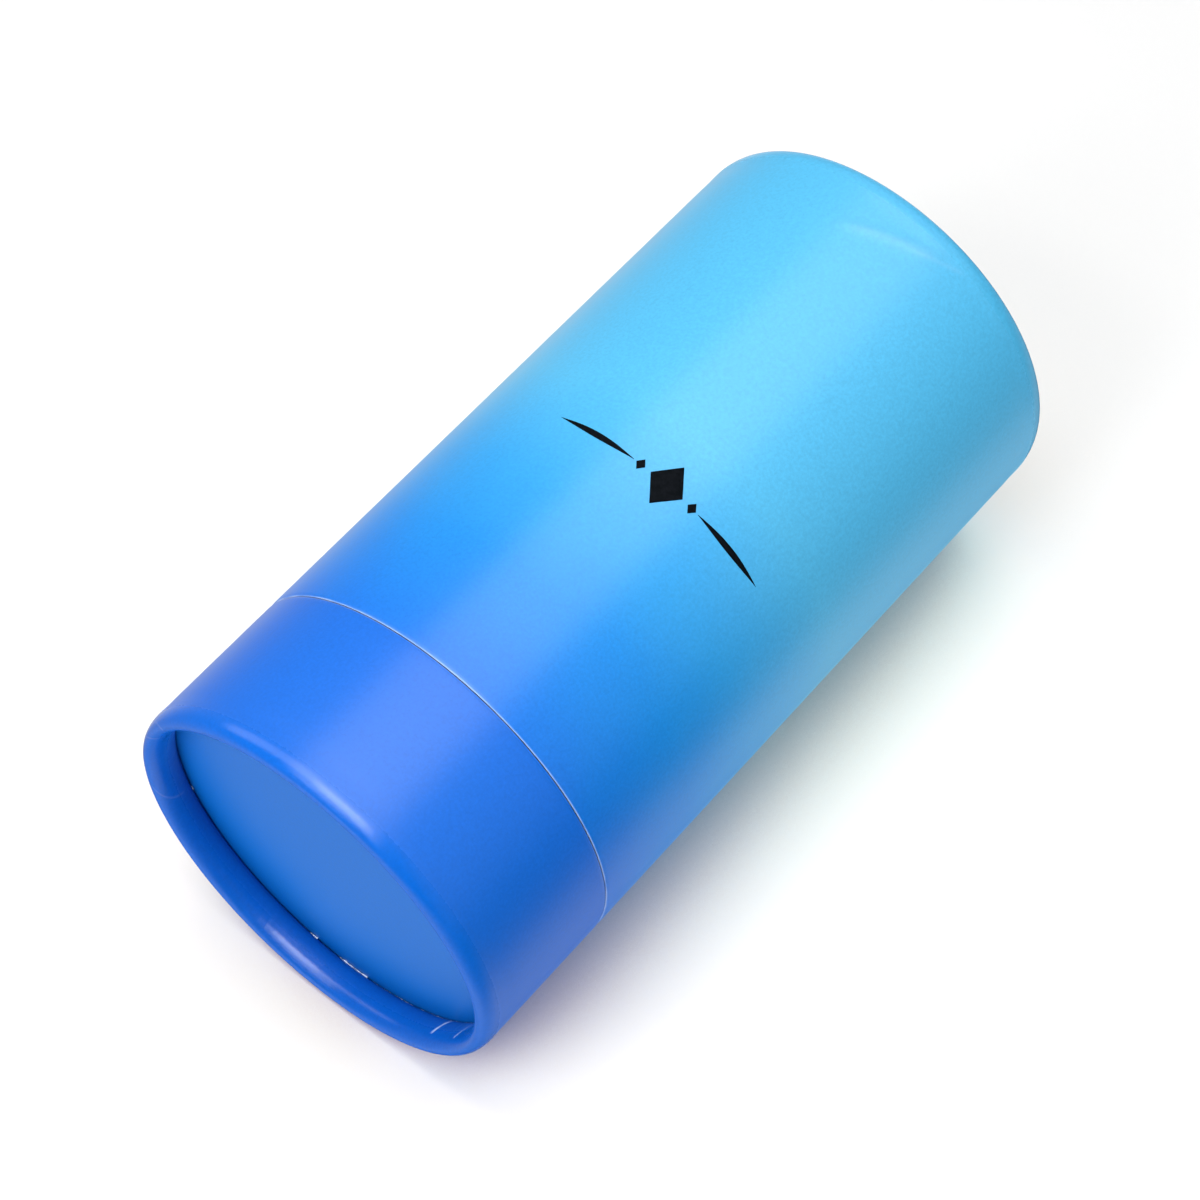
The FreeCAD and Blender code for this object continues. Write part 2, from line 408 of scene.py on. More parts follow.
world = bpy.data.worlds.new("studio")
bpy.context.scene.world = world
world.use_nodes = True
tree = world.node_tree
direction = add_node(tree, "TexCoord").outputs["Generated"]
upward, endward = along(tree, direction, photo_up), along(tree, direction, tube_axis)
angle = combine(tree, "ARCTAN2", along(tree, direction, -photo_left), upward)
round_tube = colour_ramp(tree, angle, greys(ROUND_LIGHT, math.pi / 180.0))
dimmed = rescale(tree, endward, 0.0, FULL_FROM, NEAR_SHARE, 1.0)
round_tube = mix_colours(tree, 1.0, round_tube, dimmed, "MULTIPLY")
past_front = colour_ramp(tree, upward, greys(FRONT_LIGHT))
past_back = colour_ramp(tree, upward, greys(BACK_LIGHT))
which_end = rescale(tree, endward, -ENDS_MEET, ENDS_MEET, 0.0, 1.0)
past_ends = mix_colours(tree, which_end, past_front, past_back)
past_ends = mix_colours(tree, 1.0, past_ends, combine(tree, "MULTIPLY", endward, endward), "MULTIPLY")
lit = mix_colours(tree, 1.0, round_tube, past_ends, "ADD")
seen = add_node(tree, "LightPath").outputs["Is Camera Ray"]
tree.links.new(mix_colours(tree, seen, lit, BACKDROP), tree.nodes["Background"].inputs["Color"])
bpy.context.scene.view_settings.view_transform = "Standard"
print("world light at", len(ROUND_LIGHT), "angles round the tube")

# %% [markdown]
# ## Lamps
#
# One large softbox hangs over the lying tube. A strip beside it and a brighter middle part
# give the highlight its shape. White floor and walls throw light back, and further lamps
# stand in for that. The film doesn't mirror those, because the world has their light already.

# %% Overhead softbox, and light thrown back by floor and walls
def from_side(degrees):
    """Direction at an angle round the lying tube, from overhead towards the right."""
    turn = math.radians(degrees)
    return math.cos(turn) * photo_up - math.sin(turn) * photo_left


def area_light(name, towards, distance, width, length, radiance, height=AIM_HEIGHT):
    """Rectangle that shines at a point of the axis; its power is pi x area x radiance.

    Its length runs along the axis as far as it can, and its width at right angles to that.
    """
    light = bpy.data.lights.new(name, "AREA")
    light.shape = "RECTANGLE"
    light.size, light.size_y = width, length
    light.energy = math.pi * width * length * radiance
    lamp = bpy.data.objects.new(name, light)
    bpy.context.scene.collection.objects.link(lamp)
    outward = towards.normalized()
    side = tube_axis.cross(outward).normalized()
    turned = Matrix((side, outward.cross(side), outward)).transposed()
    lamp.matrix_world = Matrix.Translation(height * tube_axis + distance * outward) @ turned.to_4x4()
    lamp.visible_camera = False
    return lamp


area_light("softbox", from_side(0.0), 0.70, 0.68, 1.10, 2.6)
area_light("softbox_strip", from_side(-25.0), 0.69, 1.30, 0.26, 2.2, height=0.0)
softbox_middle = area_light("softbox_middle", from_side(5.0), 0.68, 0.40, 0.28, 5.6, height=-0.12)
softbox_middle.visible_diffuse = False
high_front = 0.74 * photo_up - 0.65 * tube_axis + 0.08 * photo_left
for bounce in (
    area_light("floor_bounce", from_side(157.0), 0.70, 0.50, 1.00, 6.2),
    area_light("left_bounce", from_side(-95.0), 0.70, 0.50, 1.00, 1.0),
    area_light("right_bounce", from_side(65.0), 0.70, 0.50, 0.60, 2.0, height=0.16),
    area_light("front_fill", high_front, 0.80, 0.40, 0.40, 7.5, height=0.0),
    area_light("front_bounce", -0.6 * tube_axis - 0.8 * photo_up, 0.80, 0.80, 0.80, 2.6, height=0.0),
):
    bounce.visible_glossy = False
print("lights:", ", ".join(light.name for light in bpy.data.lights))

# %% [markdown]
# ## Printed paper
#
# The paper is printed in one flowing tone: a deep blue on the base, and on the lid a lighter
# blue that turns to light cyan half way up. Over the ink lies a thin satin film. A colour
# ramp along the height gives the tone; the ink is never quite even, so soft noise shifts it a
# little, and a finer noise gives the film its grain and its uneven gloss. The tool that
# curls the rims has polished the film there. Two marks on the mesh say where the film is
# cracked and where bare paper shows at a cut edge. Along the cut edge, that pale mark also
# paints the highlight of the pressed edge, strongest on one side.

# %% Printed paper material
TONE_DRIFT = 1.5 * MM
CRACKED_FILM = colour(0.60, 0.72, 0.90)
BARE_PAPER_AND_SHEEN = colour(0.50, 0.64, 0.90)
# The polish is full up to one distance from the rim and gone at the other.
POLISH_FULL = 2.8 * MM
POLISH_END = 3.4 * MM
POLISHED = 0.65


def printed_paper(name, tones):
    """Satin film over ink whose colour follows the height; tones are (height in mm, colour)."""
    material, tree, shader, place = start_material(name, specular=0.42)
    height = add_node(tree, "SeparateXYZ", {"Vector": place}).outputs["Z"]
    cloud = noise(tree, place, 70.0)
    drift = spread(tree, cloud, -TONE_DRIFT, TONE_DRIFT)
    stops = [(level * MM, blue) for level, blue in tones]
    tone = colour_ramp(tree, combine(tree, "ADD", height, drift), stops)
    grain = noise(tree, place, 1900.0, detail=4.0, roughness=0.65)
    shade = spread(tree, grain, 0.91, 1.09)
    ink = mix_colours(tree, 1.0, tone, shade, "MULTIPLY")
    worn = add_node(tree, "Attribute", attribute_name="worn").outputs["Fac"]
    bare = add_node(tree, "Attribute", attribute_name="bare").outputs["Fac"]
    cracked = mix_colours(tree, worn, ink, CRACKED_FILM)
    surface_colour = mix_colours(tree, bare, cracked, BARE_PAPER_AND_SHEEN)
    gloss = rescale(tree, grain, 0.25, 0.75, 0.28, 0.35)
    top = cad_high.z
    lower_roll = rescale(tree, height, POLISH_FULL, POLISH_END, POLISHED, 1.0)
    upper_roll = rescale(tree, height, top - POLISH_END, top - POLISH_FULL, 1.0, POLISHED)
    polished = combine(tree, "MULTIPLY", lower_roll, upper_roll)
    roughness = combine(tree, "MULTIPLY", gloss, polished)
    finish_shader(tree, shader, surface_colour, roughness, grain, depth=0.02 * MM, strength=0.6)
    return material


BASE_TONES = (
    (0.0, colour(0.001, 0.095, 0.465)),
    (28.0, colour(0.001, 0.102, 0.480)),
)
DISC_BLUE = colour(0.001, 0.118, 0.465)
DISC_TONES = ((0.0, DISC_BLUE), (28.0, DISC_BLUE))
LID_TONES = (
    (28.0, colour(0.001, 0.120, 0.510)),
    (48.0, colour(0.004, 0.182, 0.535)),
    (62.0, colour(0.018, 0.242, 0.550)),
    (83.0, colour(0.056, 0.332, 0.560)),
    (141.0, colour(0.056, 0.334, 0.560)),
)
base_print = printed_paper("printed_paper_base", BASE_TONES)
disc_print = printed_paper("printed_paper_disc", DISC_TONES)
lid_print = printed_paper("printed_paper_lid", LID_TONES)
print("printed papers:", base_print.name, disc_print.name, lid_print.name)

# %% [markdown]
# ## The wall and its rolled rim as one line
#
# Seen in section, each half is one strip of board that comes down the wall, swells very
# slightly and curls inward three quarters of a turn. That line can be written down exactly:
# a straight run and an ellipse, because the roll is squeezed flat against the wall. Every
# layer of the half lies on the same line at its own depth, so the paper, the board and their
# edges all follow from one function. The cut edge at the seam has been pressed a little
# inward, which the same function adds.

# %% The line that the layers follow
ROLL_ACROSS = 1.6 * MM
ROLL_ALONG = 3.11 * MM
RIM_LAND = 0.1 * MM
RIM_SWELL = 0.15 * MM
WALL_RADIUS = RIM_RADIUS - RIM_SWELL
WALL_DEPTH = 1.45 * MM
SHOULDER_SWELL = 0.03 * MM
WAIST_DEPTH = 0.05 * MM
WAIST_HEIGHT = 5.2 * MM
WAIST_WIDTH = 1.5 * MM
PRESS_RUN = 0.9 * MM
PRESS_DEPTH = 0.12 * MM
NEAR_RIM = 14.0 * MM
ROLL_TURN = math.radians(270.0)
LAND_FROM = math.radians(80.0)
LAND_TURN = math.radians(20.0)
EDGE_ROWS = 12


def wall_and_roll(length, wall_rows, near_rows, roll_rows):
    """Outermost line from the cut edge down the wall and round the roll to its tip.

    r is the distance from the axis, h the distance in from the rim and turn the angle round
    the roll: 0 on the wall, a right angle at the rim. On the wall, r is the wall's radius plus
    a half cosine that swells towards the roll, less a bell-shaped waist behind it. On the
    roll, r and h follow an ellipse about the roll's centre, stretched by the flat land where
    it passes the rim. Its rows are even in the direction that the surface faces, so that the
    tight bend at the rim gets as many as the long sides. press is how far the cut edge bends
    in: it falls from its depth to nothing as the square of what is left of the run.
    """
    from_edge = PRESS_RUN * np.linspace(0.0, 1.0, EDGE_ROWS) ** 1.5
    upper = np.linspace(length - PRESS_RUN, NEAR_RIM, wall_rows + 1)[1:]
    lower = np.linspace(NEAR_RIM, ROLL_ALONG, near_rows + 1)[1:]
    h_wall = np.concatenate([length - from_edge, upper, lower])
    rise = np.clip((h_wall - ROLL_ALONG) / (2.0 * ROLL_ALONG), 0.0, 1.0)
    swell = SHOULDER_SWELL * (0.5 + 0.5 * np.cos(np.pi * rise))
    waist = WAIST_DEPTH * np.exp(-(((h_wall - WAIST_HEIGHT) / WAIST_WIDTH) ** 2))
    level = WAIST_DEPTH * math.exp(-(((ROLL_ALONG - WAIST_HEIGHT) / WAIST_WIDTH) ** 2))
    bead = WALL_RADIUS + SHOULDER_SWELL - level
    facing = np.linspace(0.0, ROLL_TURN, roll_rows + 1)[1:]
    angle = np.unwrap(np.arctan2(ROLL_ALONG * np.sin(facing), ROLL_ACROSS * np.cos(facing)))
    land = RIM_LAND * ease((angle - LAND_FROM) / LAND_TURN)
    r_roll = bead - ROLL_ACROSS * (1.0 - np.cos(angle)) - land
    h_roll = ROLL_ALONG * (1.0 - np.sin(angle))
    turn = np.concatenate([np.zeros_like(h_wall), angle])
    h = np.concatenate([h_wall, h_roll])
    r = np.concatenate([WALL_RADIUS + swell - waist, r_roll])
    press = PRESS_DEPTH * np.clip(1.0 - (length - h) / PRESS_RUN, 0.0, 1.0) ** 2
    return {"r": r, "h": h, "turn": turn, "press": press}


def layer(line, inset, relief=0.0):
    """Distances r and h of the line at a depth below its outside, with relief along its normal."""
    depth = np.asarray(inset)[..., None] - relief
    cosine, sine = np.cos(line["turn"])[:, None], np.sin(line["turn"])[:, None]
    bend = line["press"][:, None] * (1.0 - np.asarray(inset)[..., None] / WALL_DEPTH)
    return line["r"][:, None] - depth * cosine - bend, line["h"][:, None] + depth * sine


SEAM_CLOSE = 0.02 * MM
HALVES = {
    "base": {"rim": 0.0, "inward": 1.0, "edge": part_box("base_wrap")[1].z},
    "lid": {"rim": cad_high.z, "inward": -1.0, "edge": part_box("lid_wrap")[0].z},
}
for half in HALVES.values():
    half["length"] = abs(half["edge"] - half["rim"]) + SEAM_CLOSE
print("wall lengths in mm:", {name: round(half["length"] / MM, 2) for name, half in HALVES.items()})

# %% [markdown]
# ## Relief of the paper
#
# Paper that is rolled inward has too much length for the smaller circle, so it gathers in
# fine pleats that grow towards the tip. Handling adds a few folds across the roll, and the
# far end of the lid has a soft crease. At the back, one edge of the sheet laps over the
# other. Each of these is a height above the smooth line, given for all rows and columns of
# the grid at once, so they simply add up.

# %% Lap, pleats, folds and the crease
LAP_TURN = math.radians(118.0)
LAP_STEP = 0.08 * MM
LAP_WIDTH = 9.0 * MM
LAP_RISE = 0.15 * MM
LAP_FALL = 4.0 * MM
LAP_FADE = math.radians(75.0)
FINE_COLUMNS = 9
PLEAT_WAVES = 12
PLEAT_WIDTH = 0.3
PLEAT_SLANT = 0.02
PLEAT_FROM = math.radians(75.0)
PLEAT_GROWTH = math.radians(130.0)
FOLD_BOW = 0.25
FOLD_FADE = 0.15


def columns_round(count, fine_at, fine_width):
    """Angles all the way round, evenly spaced, with a few close together at one place."""
    even = np.linspace(-np.pi, np.pi, count, endpoint=False)
    close = fine_at + np.linspace(-0.5, 0.5, FINE_COLUMNS) * fine_width / WALL_RADIUS
    return np.unique(np.concatenate([even, close]))


def arc_from(theta, angle):
    """Signed distance round the wall from an angle, the short way."""
    return WALL_RADIUS * ((theta - angle + np.pi) % (2.0 * np.pi) - np.pi)


def lap_step(past):
    """Step of a lapped joint, from 0 to 1: a sharp rise at the edge and a slow fall past the lap."""
    return ease(past / LAP_RISE) * (1.0 - ease((past - LAP_WIDTH) / LAP_FALL))


def lap(theta, turn):
    """Height where one edge of the sheet lies on the other.

    The roll presses the layers together, so the step fades out over its first quarter.
    """
    step = lap_step(arc_from(theta, LAP_TURN))
    return LAP_STEP * step[None, :] * (1.0 - ease(turn / LAP_FADE))[:, None]


def pleats(theta, turn, seed, depth):
    """Narrow valleys across the roll, deeper towards its tip.

    A sum of cosines with seeded phases runs round the rim; wherever it passes zero, a bell
    curve makes a valley. A second, slower sum makes some stretches smoother than others. Each
    sum is divided by the root of half its count, so its mean square is about 1.
    """
    rng = np.random.default_rng(seed)
    counts = rng.integers(50, 125, PLEAT_WAVES)
    phases = rng.uniform(0.0, 2.0 * np.pi, PLEAT_WAVES)
    slant = PLEAT_SLANT * np.sin(turn)[:, None]
    wave = sum(np.cos(n * (theta + slant) + p) for n, p in zip(counts, phases))
    wave = wave / math.sqrt(PLEAT_WAVES / 2.0)
    slow_counts = range(2, 9)
    slow = sum(np.cos(n * theta + p) for n, p in zip(slow_counts, phases))
    slow = slow / math.sqrt(len(slow_counts) / 2.0)
    growth = ease((turn - PLEAT_FROM) / PLEAT_GROWTH)[:, None]
    valleys = np.exp(-((wave / PLEAT_WIDTH) ** 2))
    return -depth * growth * valleys * (0.35 + 0.65 * ease(0.5 + 0.5 * slow))


def folds(theta, turn, places, width):
    """Bell-shaped creases across the roll, each bowed to one side and fading out at its ends.

    A place is the angle round the tube at both ends, the turn at both ends and the strength.
    """
    total = np.zeros((len(turn), len(theta)))
    for *degrees, strength in places:
        start, end, turn_from, turn_to = np.radians(degrees)
        share = np.clip((turn - turn_from) / (turn_to - turn_from), 0.0, 1.0)
        bow = FOLD_BOW * (end - start) * np.sin(np.pi * share)
        centre = start + (end - start) * share + bow
        begun = ease((turn - turn_from) / FOLD_FADE + 0.5)
        inside = begun * ease((turn_to - turn) / FOLD_FADE + 0.5)
        away = arc_from(theta[None, :], centre[:, None])
        total += strength * inside[:, None] * np.exp(-((away / width) ** 2))
    return total


def wobble(theta, seed, depth):
    """Slightly uneven roundness: a few slow cosines round the wall."""
    phases = np.random.default_rng(seed).uniform(0.0, 2.0 * np.pi, 5)
    return depth * sum(np.cos(n * theta + p) / n for n, p in zip(range(2, 7), phases))


print("lap joint at", round(math.degrees(LAP_TURN)), "degrees, at the back")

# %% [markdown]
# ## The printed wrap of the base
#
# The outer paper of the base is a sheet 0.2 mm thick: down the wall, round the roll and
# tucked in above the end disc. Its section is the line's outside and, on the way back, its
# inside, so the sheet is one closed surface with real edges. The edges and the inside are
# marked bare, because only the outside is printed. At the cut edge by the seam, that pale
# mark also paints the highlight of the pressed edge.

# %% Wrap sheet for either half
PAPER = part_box("base_disc_face")[1].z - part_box("base_disc_face")[0].z
EDGE_ROUND = 0.03 * MM
BACK_STEP = 7
TIP_ROWS = 3
# Pale mark along the cut edge, row by row in from it: worn film and painted highlight in one.
EDGE_WEAR_AND_SHEEN = np.array([0.8, 0.6, 0.36, 0.18, 0.06])
# Counts round the edge and phases of the waves that break up its wear and painted highlight.
EDGE_PALE_WAVES = ((17.0, 0.0), (29.0, 1.0), (47.0, 2.0))
EDGE_PALE_BREAK = 0.15
PLEAT_DEPTH = 0.035 * MM
OUT_OF_ROUND = 0.03 * MM
LAP_FINE = 0.4 * MM


def wrap_sheet(name, half, line, theta, relief, worn, wear_and_sheen_at, wear_and_sheen_share):
    """Sheet of printed paper on the line: its outside, then every few rows of its inside.

    Along the cut edge the film is rubbed off and a highlight is painted, in one pale mark, most
    at one angle and least opposite to it: half a cosine round the edge, broken up by a few faster
    ones, times a share.
    """
    rows = len(line["h"])
    outer_inset = np.zeros(rows)
    outer_inset[[0, -1]] = EDGE_ROUND
    back = np.unique(np.append(np.arange(0, rows, BACK_STEP), rows - 1))[::-1]
    r_out, h_out = layer(line, outer_inset, relief)
    r_in, h_in = layer(line, np.full(rows, PAPER), relief)
    r, h = np.concatenate([r_out, r_in[back]]), np.concatenate([h_out, h_in[back]])
    away = theta - math.radians(wear_and_sheen_at)
    broken = EDGE_PALE_BREAK * sum(np.cos(n * away + p) for n, p in EDGE_PALE_WAVES)
    bare = np.zeros_like(r)
    # Pale cut edge: worn film, and a painted highlight strongest where the pressed edge catches the
    # light.
    bare[:len(EDGE_WEAR_AND_SHEEN)] = wear_and_sheen_share * EDGE_WEAR_AND_SHEEN[:, None] * ease(0.5 + 0.5 * np.cos(away) + broken)
    bare[rows + TIP_ROWS:] = 1.0
    worn = np.concatenate([worn, np.zeros((len(back), len(theta)))])
    points = around(r, half["rim"] + half["inward"] * h, theta)
    return make_piece(name, [surface(points)], bare=bare, worn=worn)


BASE_FOLDS = (
    (-166.0, -160.0, 36.0, 95.0, 0.10),
    (-175.0, -170.0, 65.0, 140.0, 0.10),
    (158.0, 149.0, 95.0, 200.0, 0.08),
    (33.0, 31.0, 165.0, 250.0, 1.0),
    (19.0, 13.0, 158.0, 245.0, 0.9),
)
BASE_FOLD_DEPTH = 0.06 * MM
base_line = wall_and_roll(HALVES["base"]["length"], wall_rows=10, near_rows=26, roll_rows=62)
base_theta = columns_round(760, LAP_TURN, LAP_FINE)
base_turn = base_line["turn"]
base_creases = folds(base_theta, base_turn, BASE_FOLDS, width=0.22 * MM)
base_relief = pleats(base_theta, base_turn, seed=11, depth=PLEAT_DEPTH)
base_relief = base_relief + lap(base_theta, base_turn) + wobble(base_theta, 5, OUT_OF_ROUND)
base_relief = base_relief - BASE_FOLD_DEPTH * base_creases
base_wrap = wrap_sheet("base_printed_wrap", HALVES["base"], base_line, base_theta, base_relief,
                       np.clip(base_creases, 0.0, 1.0), wear_and_sheen_at=-165.0, wear_and_sheen_share=0.25)
seat(base_wrap, "base", base_print, "base_wrap")

# %% [markdown]
# ## The printed wrap of the lid
#
# The lid's paper is made the same way, upside down. Near its top the tube has been knocked
# once, and a long shallow crease runs obliquely towards the rim. It is a broad ridge and a
# finer one beside it, both bell-shaped across and fading out along their length.

# %% Lid wrap with its oblique crease
def oblique_crease(theta, h, start, end, width):
    """Ridge along a straight line on the unrolled wall, from start to end as (degrees, mm from rim).

    It is 1 along its crest, and the film over it has gone pale in the same measure.
    """
    ends = np.array([[arc_from(math.radians(turn), 0.0), depth * MM] for turn, depth in (start, end)])
    run = ends[1] - ends[0]
    size = np.hypot(*run)
    x, y = arc_from(theta, 0.0)[None, :] - ends[0, 0], h[:, None] - ends[0, 1]
    share = (x * run[0] + y * run[1]) / size**2
    across = (x * run[1] - y * run[0]) / size
    fade = ease(share / 0.35) * ease((1.0 - share) / 0.2)
    return fade * np.exp(-((across / width) ** 2))


LID_FOLDS = (
    (-30.0, -27.0, 60.0, 170.0, 0.15),
    (75.0, 70.0, 90.0, 220.0, 0.20),
    (160.0, 163.0, 110.0, 230.0, 0.25),
)
LID_FOLD_DEPTH = 0.05 * MM
lid_line = wall_and_roll(HALVES["lid"]["length"], wall_rows=30, near_rows=42, roll_rows=54)
lid_theta = columns_round(590, LAP_TURN, LAP_FINE)
lid_turn = lid_line["turn"]
on_wall = np.where(lid_turn > 0.0, 0.0, 1.0)
lid_creases = folds(lid_theta, lid_turn, LID_FOLDS, width=0.25 * MM)
lid_relief = pleats(lid_theta, lid_turn, seed=23, depth=PLEAT_DEPTH) + lap(lid_theta, lid_turn)
lid_relief = lid_relief + wobble(lid_theta, 9, OUT_OF_ROUND) - LID_FOLD_DEPTH * lid_creases
for start, end, width, height, whitened in (
    ((-110.0, 12.2), (-79.0, 4.8), 1.2 * MM, 0.16 * MM, 0.05),
    ((-90.0, 8.2), (-72.0, 3.4), 0.45 * MM, 0.06 * MM, 0.04),
):
    ridge = oblique_crease(lid_theta, lid_line["h"], start, end, width) * on_wall[:, None]
    lid_relief = lid_relief + height * ridge
    lid_creases = lid_creases + whitened * ridge
lid_wrap = wrap_sheet("lid_printed_wrap", HALVES["lid"], lid_line, lid_theta, lid_relief,
                      np.clip(lid_creases, 0.0, 1.0), wear_and_sheen_at=-75.0, wear_and_sheen_share=1.0)
seat(lid_wrap, "lid", lid_print, "lid_wrap")

# %% [markdown]
# ## Wound board
#
# The walls are grey board, several plies wound and glued. The plies show on the cut ends as
# fine rings, so the colour depends on the distance from the axis. Short darker and lighter
# fibres break it up, and the board is quite matt.

# %% Board material, and the shells of both halves
PLY = 0.4 * MM


def wound_board():
    """Grey board with a darker glue ring at each ply and stretched noise for fibres."""
    material, tree, shader, place = start_material("wound_board", specular=0.15)
    without_z = {0: place, 1: (1.0, 1.0, 0.0)}
    flat = add_node(tree, "VectorMath", without_z, operation="MULTIPLY").outputs[0]
    distance = add_node(tree, "VectorMath", {0: flat}, operation="LENGTH").outputs["Value"]
    within = combine(tree, "FRACT", combine(tree, "DIVIDE", distance, PLY))
    glue = rescale(tree, within, 0.0, 0.18, 0.72, 1.0)
    stretch = {"Vector": place, "Scale": (1.0, 1.0, 0.15)}
    stretched = add_node(tree, "Mapping", stretch).outputs["Vector"]
    fibres = noise(tree, stretched, 2600.0, detail=5.0, roughness=0.7)
    patches = noise(tree, place, 180.0)
    grey = mix_colours(tree, rescale(tree, fibres, 0.35, 0.65, 0.0, 1.0),
                       colour(0.46, 0.45, 0.43), colour(0.62, 0.61, 0.59))
    grey = mix_colours(tree, spread(tree, patches, 0.0, 0.35), grey, colour(0.50, 0.47, 0.42))
    ringed = mix_colours(tree, 1.0, grey, glue, "MULTIPLY")
    roughness = spread(tree, fibres, 0.82, 0.95)
    finish_shader(tree, shader, ringed, roughness, fibres, depth=0.05 * MM, strength=0.4)
    return material


GLUE = 0.05 * MM
BOARD_SHORT = 0.2 * MM
board = wound_board()


def board_shell(name, half, columns=240):
    """Board tube on the same line: from below the paper to the inside of the wall.

    At the cut edge the paper stands a little past the board.
    """
    line = wall_and_roll(half["length"] - BOARD_SHORT, wall_rows=6, near_rows=10, roll_rows=30)
    rows = len(line["h"])
    outer_inset = np.full(rows, PAPER + GLUE)
    outer_inset[[0, -1]] += 2.0 * EDGE_ROUND
    inner_inset = np.full(rows, WALL_DEPTH)
    inner_inset[[0, -1]] -= 2.0 * EDGE_ROUND
    theta = np.linspace(-np.pi, np.pi, columns, endpoint=False)
    r_out, h_out = layer(line, outer_inset)
    r_in, h_in = layer(line, inner_inset)
    r, h = np.concatenate([r_out, r_in[::-1]]), np.concatenate([h_out, h_in[::-1]])
    return make_piece(name, [surface(around(r, half["rim"] + half["inward"] * h, theta))])


for body, half in HALVES.items():
    seat(board_shell(f"{body}_board_shell", half), body, board, f"{body}_shell")
for node in ("base_disc", "lid_disc"):
    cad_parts[node].data.materials.clear()
    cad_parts[node].data.materials.append(board)

# %% [markdown]
# ## White papers inside
#
# Two white papers line the box: an uncoated one inside the tubes and on the discs, matt and
# slightly warm, and a smoother coated one round the neck. Both are made by one function.

# %% White paper materials
def white_paper(name, tone, shade, gloss, fibre_depth):
    """White paper: faint cloudy tone, fine fibres for grain and uneven gloss."""
    material, tree, shader, place = start_material(name, specular=0.25)
    clouds = noise(tree, place, 120.0, detail=4.0)
    fibres = noise(tree, place, 2400.0, detail=5.0, roughness=0.7)
    base = mix_colours(tree, spread(tree, clouds, 0.0, 1.0), tone, shade)
    grain = spread(tree, fibres, 0.94, 1.03)
    white = mix_colours(tree, 1.0, base, grain, "MULTIPLY")
    roughness = spread(tree, fibres, gloss - 0.06, gloss + 0.06)
    finish_shader(tree, shader, white, roughness, fibres, depth=fibre_depth, strength=0.4)
    return material


lining_white = white_paper("white_paper", colour(0.72, 0.71, 0.685), colour(0.66, 0.65, 0.62),
                           gloss=0.85, fibre_depth=0.04 * MM)
neck_white = white_paper("neck_paper", colour(0.58, 0.58, 0.575), colour(0.55, 0.55, 0.545),
                         gloss=0.50, fibre_depth=0.015 * MM)
print("white papers:", lining_white.name, neck_white.name)

# %% [markdown]
# ## Sleeves
#
# The linings are wound in a spiral, so their joint climbs round the wall. It is a narrow
# groove, which a straight grid would cut in steps. So the grid itself is twisted by the pitch
# of the winding, and the groove runs along one column. The neck's coated sheet has a straight
# lapped joint, and its board tube none: both are the same sleeve with no twist.

# %% Sleeves: linings, neck paper and the neck board
SPIRAL_PITCH = 115.0 * MM
GROOVE_DEPTH = 0.06 * MM
GROOVE_WIDTH = 0.25 * MM
JOINT_TURN = math.radians(-35.0)


def sleeve(name, node, wall, rows=24, columns=360, pitch=None,
           inner_groove=0.0, outer_lap=0.0, end_round=EDGE_ROUND):
    """Tube of a CAD sleeve's own size, its wall as thick as wall.

    The section is a rectangle with its corners taken off by end_round. With a pitch, the
    angle of a column grows by a full turn for each pitch of height. inner_groove is the depth
    of the joint on the inside, a bell curve across one column; outer_lap the step outside.
    """
    low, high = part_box(node)
    outer, bore = high.x, high.x - wall
    z = np.linspace(low.z + end_round, high.z - end_round, rows)
    z = np.concatenate([[low.z], z, [high.z]])
    theta = columns_round(columns, JOINT_TURN, 4.0 * GROOVE_WIDTH)
    taken = np.zeros(len(z))
    taken[[0, -1]] = end_round
    away = arc_from(theta, JOINT_TURN)
    groove = inner_groove * np.exp(-((away / GROOVE_WIDTH) ** 2))
    step = outer_lap * lap_step(away)
    r_out = outer - taken[:, None] + step[None, :]
    r_in = bore + taken[:, None] + groove[None, :]
    twist = 2.0 * np.pi * (z - low.z) / pitch if pitch else np.zeros_like(z)
    turned = theta[None, :] + twist[:, None]
    r = np.concatenate([r_out, r_in[::-1]])
    points = around(r, np.concatenate([z, z[::-1]])[:, None], np.concatenate([turned, turned[::-1]]))
    return make_piece(name, [surface(points)])


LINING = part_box("base_floor_paper")[1].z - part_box("base_floor_paper")[0].z
NECK_WALL = 1.2 * MM
NECK_LAP = 0.06 * MM
NECK_ROUND = 0.12 * MM
LININGS = (("base", "base_lining", 12), ("base", "neck_lining", 24), ("lid", "lid_lining", 48))
for body, node, rows in LININGS:
    lining = sleeve(node.replace("lining", "white_lining"), node, LINING, rows, pitch=SPIRAL_PITCH,
                    inner_groove=GROOVE_DEPTH)
    seat(lining, body, lining_white, node)
neck_paper = sleeve("neck_coated_paper", "neck_wrap", LINING, outer_lap=NECK_LAP)
seat(neck_paper, "base", neck_white, "neck_wrap")
neck_board = sleeve("neck_board_tube", "neck_tube", NECK_WALL, end_round=NECK_ROUND)
seat(neck_board, "base", board, "neck_tube")

# %% [markdown]
# ## End discs and their papers
#
# Each end is closed by a board disc that carries printed paper outside and white paper inside.
# Glued paper on board is never quite flat, so each sheet is a disc whose height wanders by a
# few hundredths of a millimetre. Its grid runs from the middle to the edge and back on the
# other face, and the two middles are closed by fans.

# %% Paper discs
DISC_WAVES = 4


